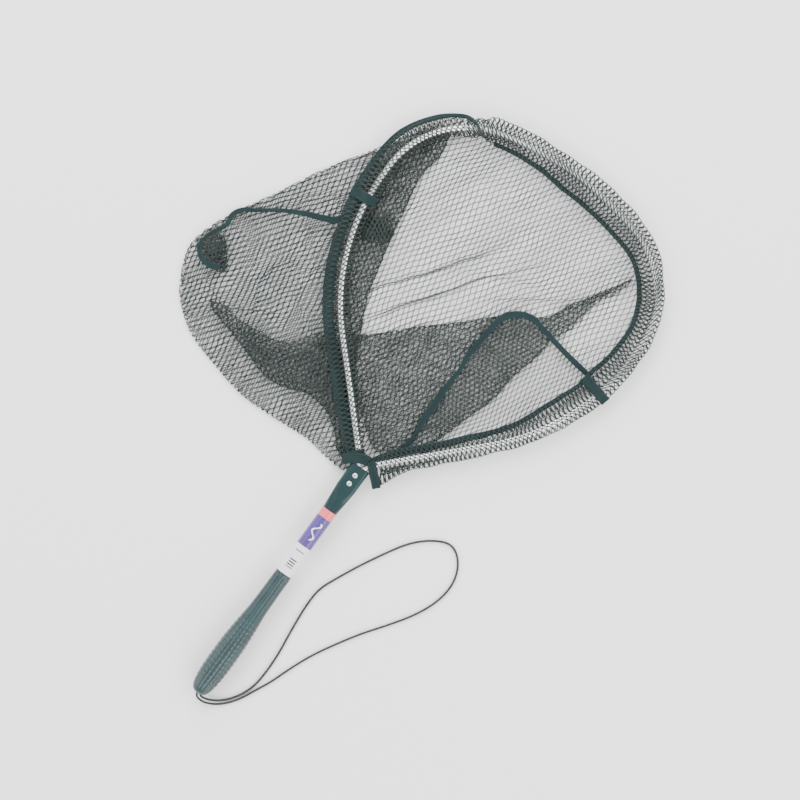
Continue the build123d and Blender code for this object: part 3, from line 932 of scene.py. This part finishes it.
def turned_under(flat, edge, region, above, below):
    """Netting that lies at the height above and turns under at an edge to lie at the height below."""
    far, foot = nearest(flat, edge)
    past = np.where(inside(flat, region), -far, far)
    outward = (flat - foot) / np.maximum(far, 1e-6)[..., None] * np.sign(past)[..., None]
    quarter = FOLD_RADIUS * math.pi / 2
    turn = np.clip(past, -quarter, quarter) / FOLD_RADIUS
    beyond = np.maximum(past - quarter, 0.0)
    before = np.maximum(-past - quarter, 0.0)
    reach = -FOLD_RADIUS + FOLD_RADIUS * np.cos(turn) - beyond - before
    bent = foot + outward * np.where(before > 0, past, reach)[..., None]
    height = below + (above - below) * (1 - np.sin(turn)) / 2
    return at_height(bent, height)


def tuck(name, edge, rest, out, layers, heights, pitch, row_pitch, sway):
    """Folded netting, an upper and a lower piece that turn under at the edge, whose outer side out gives.

    A layer is the angle of its strands, its level, and the seeds of its unevenness and of its sway.
    heights gives its upper and its lower height at each place.
    """
    region = np.vstack([edge, rest])
    outline = np.vstack([grown(edge, out * FOLD_UNDER), rest])
    for word, (angle, level, seed, sway_seed) in zip(("upper", "lower"), layers):

        def surface(flat):
            above, below = heights(flat, level, seed)
            return turned_under(flat, edge, region, above, below)

        warp = creased((), sway, sway_seed)
        panel(f"{name}_{word}", outline, angle, surface, pitch, row_pitch, warp, ())


def uneven(amount, length):
    """Heights of a layer whose level is two heights, the upper one uneven by an amount."""

    def heights(flat, level, seed):
        return level[0] + amount * ripple(flat, length, seed), level[1]

    return heights


FLOOR_CREASES = (
    ((-150, 130), (0, 333), 2.8, 1.3),
    ((-130, 99), (45, 340), 3.2, 1.4),
    ((-30, 215), (140, 345), 2.0, 2.4),
    ((-60, 250), (60, 300), 1.2, 3.0),
    ((-210, 120), (-60, 60), 3.0, 4.0),
)


def floor_surface(flat):
    height = 1.3 + 0.6 * ripple(flat, 46.0, 31) + crease_height(flat, FLOOR_CREASES)
    height = risen(flat, height, FAR_TAIL, FAR_TAIL_Z, 26.0)
    return at_height(flat, np.maximum(height, 0.55))


panel(
    "bag_far_netting", np.vstack([FAR_TAIL, LOBE_EDGE + (1.5, 1.0), RIGHT_SEAM[::-1]]), 78.0,
    floor_surface, 3.2, 6.95, creased(FLOOR_CREASES, 1.0, 41), replaces=["net_far_panel"],
)

# The Z-fold of the far panel inside the hoop: two more layers beside the light stretch
PLEAT_EDGE = smooth([
    (-112, 112), (-89, 126), (-68, 146), (-48, 167), (-28, 185), (-7, 204), (22, 233), (49, 252),
    (66, 264), (78, 275), (88, 298), (107, 328), (120, 350), (130, 370),
], 6.0)
PLEAT_REST = smooth([
    (132, 366), (127, 346), (112, 312), (108, 282), (100, 258), (84, 255), (62, 260), (45, 254),
    (34, 243), (29, 228), (27, 183), (27, 129), (28, 83), (31, 62), (20, 34), (0, 20), (-30, 40),
    (-70, 70),
], 6.0)
tuck(
    "bag_pleat", PLEAT_EDGE, PLEAT_REST, -1, ((52.0, (4.4, 3.0), 51, 53), (96.0, (3.0, 2.0), 61, 63)),
    uneven(0.7, 38.0), 3.05, 6.0, 1.6,
)


def corner_surface(flat):
    height = 2.0 + 0.8 * ripple(flat, 40.0, 71)
    height = risen(flat, height, RIGHT_TAIL, FAR_TAIL_Z, 24.0)
    return at_height(flat, np.maximum(height, 0.6))


# The near panel's corner between the right seam and the right arm, and the tuck along the seam
panel(
    "bag_near_corner", np.vstack([RIGHT_SEAM, RIGHT_TAIL]), 84.0, corner_surface, 2.9, 6.6,
    creased((), 1.2, 72),
)
CORNER_TUCK_EDGE = smooth([
    (88, 256), (95, 246), (92, 222), (84, 191), (80, 152), (68, 117), (60, 89), (52, 66), (40, 44),
], 6.0)
tuck(
    "bag_corner_tuck", CORNER_TUCK_EDGE, RIGHT_SEAM[8:][::-1], -1,
    ((30.0, (5.2, 3.2), 81, 82), (100.0, (4.0, 3.2), 85, 86)),
    uneven(0.6, 30.0), 2.9, 6.0, 1.6,
)

# The dense corner inside the hoop's upper left, and along the left arm
LEFT_TUCK_EDGE = smooth([
    (-60, 62), (-88, 112), (-112, 162), (-124, 206), (-132, 240), (-137, 268), (-146, 318),
    (-142, 352), (-148, 384),
], 6.0)
LEFT_TUCK_REST = smooth([
    (-164, 384), (-184, 340), (-192, 296), (-188, 256), (-172, 212), (-148, 165), (-110, 112),
    (-74, 66),
], 6.0)
tuck(
    "bag_left_tuck", LEFT_TUCK_EDGE, LEFT_TUCK_REST, 1,
    ((70.0, (6.4, 2.8), 91, 92), (110.0, (4.4, 2.8), 95, 96)),
    uneven(0.8, 26.0), 2.7, 5.6, 1.8,
)

LOBE_CREASES = (
    ((-264, 42), (-176, 92), 4.5, 4.0),
    ((-304, 78), (-150, 16), 4.5, 5.0),
    ((-206, 204), (-232, 84), 2.2, 5.0),
    ((-184, 186), (-170, 60), 3.0, 6.0),
    ((-270, 150), (-200, 60), 2.0, 6.0),
)
LOBE_REGION = np.vstack([LOBE_EDGE, [(40, 0), (0, 120), (-100, 300), (-110, 420)]])


def lobe_height(flat):
    far, _ = nearest(flat, LOBE_EDGE)
    fullness = 19.0 + 2.5 * ripple(flat, 85.0, 101) + 1.6 * ripple(flat, 33.0, 102)
    height = 2.8 + fullness * (1 - np.exp(-far / 30.0)) + crease_height(flat, LOBE_CREASES)
    return risen(flat, height, LEFT_TAIL, LEFT_TAIL_Z, 34.0)


def lobe_surface(flat):
    return turned_under(flat, LOBE_EDGE, LOBE_REGION, lobe_height(flat), 0.6)


def make_lobe():
    split = LEFT_SEAM[:-10]
    shoulder = grown(LOBE_EDGE, FOLD_UNDER)
    seam_end = np.argmin(np.linalg.norm(LOBE_EDGE - split[-1], axis=1))
    far_part = np.vstack([shoulder[: seam_end + 1], split[::-1], [(-176, 262), (-182, 300), (-172, 350)]])
    near_part = np.vstack([shoulder[seam_end:], LEFT_TAIL[::-1][:-9], split])
    for name, outline, angle, replaced in (
        ("bag_lobe_far_netting", far_part, 76.0, []),
        ("bag_lobe_near_netting", near_part, 75.0, ["net_near_panel"]),
    ):
        warp = creased(LOBE_CREASES, 1.4, 111)
        panel(name, outline, angle, lobe_surface, 3.1, 6.4, warp, replaces=replaced)


make_lobe()

# Netting gathered between the lobe's two skins, towards the neck
LOBE_TUCK_EDGE = smooth([
    (-262, 50), (-256, 43), (-225, 35), (-193, 26), (-155, 15), (-125, 20), (-103, 28), (-72, 24),
    (-48, 8), (-38, -4), (-18, -12),
], 6.0)
LOBE_TUCK_REST = smooth([
    (-6, 4), (-36, 42), (-66, 76), (-98, 98), (-131, 99), (-146, 80), (-162, 62), (-212, 54),
    (-252, 56),
], 6.0)


def inside_lobe(flat, share, seed):
    """Heights of a layer at a share of the lobe's height."""
    height = 2.0 + (lobe_height(flat) - 3.0) * share + 0.8 * ripple(flat, 24.0, seed)
    return height, height - 2.2


tuck(
    "bag_lobe_tuck", LOBE_TUCK_EDGE, LOBE_TUCK_REST, 1, ((40.0, 0.66, 121, 122), (105.0, 0.36, 125, 126)),
    inside_lobe, 2.8, 5.8, 2.0,
)


def gather(name, outline, layers, rests_on):
    """Netting bunched up: layers are the direction of the strands and the middle height."""
    outline = smooth(outline, 3.0, closed=True)
    middle = outline.mean(axis=0)
    paths = []
    for seed, (angle, height) in enumerate(layers):

        def crumpled(flat):
            bulge = 1 - ease(np.linalg.norm(flat - middle, axis=-1) / 30.0)
            rise = height * (0.75 + 0.35 * bulge) + 1.6 * ripple(flat, 13.0, 141 + seed)
            return at_height(flat, np.maximum(rise, 0.6))

        paths += lay(outline, angle, crumpled, 2.3, 4.4, creased((), 2.4, 151 + 4 * seed))
    netting(name, paths, 4, ())


def neck_gather_outline():
    """A narrow band on the outer side of the right arm, widest at the neck."""
    at = np.linspace(SLEEVE_START + 14.0, SLEEVE_START + 105.0, 14)
    place, _, inward = on_hoop(at)
    width = np.linspace(8.5, 2.0, 14)[:, None]
    return np.vstack([place - inward * 5.9, (place - inward * (5.9 + width))[::-1]])


gather("hem_neck_gather", neck_gather_outline(), ((50, 12.5), (95, 14.0), (5, 15.5)), "hoop_tube")
gather(
    "bag_end_gather",
    [(-312, 95), (-313, 109), (-304, 120), (-291, 121), (-279, 108), (-268, 92), (-276, 83), (-293, 86)],
    ((30, 6.0), (95, 9.0), (150, 12.0)), "bag_far_netting",
)
gather(
    "bag_tab_gather",
    [(-172, 244), (-154, 251), (-135, 248), (-130, 237), (-139, 223), (-158, 217), (-168, 228)],
    ((20, 9.0), (75, 11.0), (130, 13.0)), "bag_far_netting",
)


# -------- seam tapes


def seam(side, line, height, width, tilt_seed):
    """Binding over a side seam of the bag, lying on the netting."""
    name = f"seam_binding_{side}"
    path = np.column_stack([line, np.broadcast_to(height, len(line))])
    up = np.column_stack([np.zeros((len(line), 2)), np.ones(len(line))])
    lean = 0.5 * ripple(line, 45.0, tilt_seed)
    across = unit(np.cross(up, unit(np.gradient(path, axis=0))) + up * lean[:, None])
    spread = np.clip(0.85 + 0.3 * ripple(line, 70.0, tilt_seed + 5), 0.5, 1.2)
    ribbon(name, f"seam_tape_{side}", path, across, width, 2.0, spread)
    for word, way in (("left", -1), ("right", 1)):
        offset = across * way * (spread * width / 2 - 1.3)[:, None] + up * 1.0
        stitch_row(f"{name}_stitches_{word}", path + offset, 0.15)


left_line = smooth(LEFT_SEAM[::2], 3.0)
seam("right", smooth(RIGHT_SEAM[::2], 3.0), 6.6, 8.0, 131)
seam("left", left_line, lobe_height(left_line) + 1.4, 7.5, 132)


# -------- grip

# Place along the handle, measured from the neck, and radius, top to butt
GRIP_WAIST = [
    (-160.8, 10.4), (-188.0, 10.6), (-214.0, 11.2), (-238.0, 13.5), (-262.0, 15.2),
    (-288.0, 15.5), (-310.0, 14.8), (-325.0, 12.4), (-333.0, 9.0), (-336.4, 4.2),
]
FLUTES = 12
FLUTE_DEPTH = 1.0
NOTCH_PITCH = 6.2


def make_grip():
    waist = smooth(GRIP_WAIST, 0.8)
    around = 160
    y, radius = waist[:, :1], waist[:, 1:]
    angle = (np.arange(around) * 2 * math.pi / around)[None]
    fade = ease((-162.5 - y) / 4.0) * ease((y + 333.0) / 10.0)
    flute = np.abs(np.cos(angle * FLUTES / 2)) ** 0.7
    notch_on = ease((-222.0 - y) / 14.0) * ease((y + 326.0) / 10.0)
    notch = np.exp(-(((y / NOTCH_PITCH) % 1.0 - 0.5) / 0.16) ** 2)
    size = radius - fade * FLUTE_DEPTH * (1 - flute) - 0.6 * notch * notch_on * flute
    size = np.where(y > -162.0, size - 0.3 * ease((y + 162.0) / 1.2), size)
    x = NECK_X + size * np.cos(angle)
    z = AXIS_Z + size * np.sin(angle)
    points = np.stack([x, np.broadcast_to(y + NECK_Y, x.shape), z], axis=-1)
    # Inner rims, so that the grip has a thickness where it meets the tube and at the cord's hole
    centre = np.array([NECK_X, 0.0, AXIS_Z])
    bore = 9.5 / 10.2  # the bore's radius as a share of the grip's own at its top
    top_inner = (points[:1] - centre) * (bore, 1, bore) + centre
    hole = points[-1:] + (0, 4.0, 0)
    points = np.concatenate([top_inner, points, hole])
    rings = len(points)
    k = np.arange(around)
    first = np.arange(rings - 1)[:, None] * around
    nxt = (k + 1) % around
    faces = np.stack([first + k, first + around + k, first + around + nxt, first + nxt], axis=-1)
    points = points.reshape(-1, 3) * MM
    mesh_piece("grip_moulding", points, faces.reshape(-1, 4), RUBBER, replaces=["grip"])


make_grip()


# -------- stage


def make_stage():
    n = Nodes("paper_floor")
    paper = n.tones(n.noise(300.0, 3.0), (0.93, 0.93, 0.925), (0.95, 0.95, 0.945))
    n.set(Base_Color=paper, Roughness=0.9)
    bpy.ops.mesh.primitive_plane_add(size=12.0, location=(0, 0, -0.0004))
    floor = bpy.context.object
    floor.name = "paper_floor"
    floor.data.materials.append(n.material)

    world = bpy.data.worlds.new("studio")
    world.use_nodes = True
    background = world.node_tree.nodes["Background"]
    background.inputs["Color"].default_value = (1.0, 1.0, 1.0, 1.0)
    background.inputs["Strength"].default_value = 1.35
    bpy.context.scene.world = world

    for name, place, size, power in (
        ("key_light", (-1.6, 1.8, 1.7), 2.2, 120.0),
        ("fill_light", (2.2, -1.2, 1.7), 2.2, 75.0),
        ("far_light", (1.9, 2.0, 1.8), 2.2, 55.0),
        ("near_light", (-2.2, -1.5, 1.8), 2.2, 55.0),
    ):
        lamp = bpy.data.lights.new(name, "AREA")
        lamp.size = size
        lamp.energy = power
        light = bpy.data.objects.new(name, lamp)
        bpy.context.scene.collection.objects.link(light)
        light.location = place
        light.rotation_euler = (Vector((0, 0.05, 0)) - Vector(place)).to_track_quat("-Z", "Y").to_euler()


make_stage()
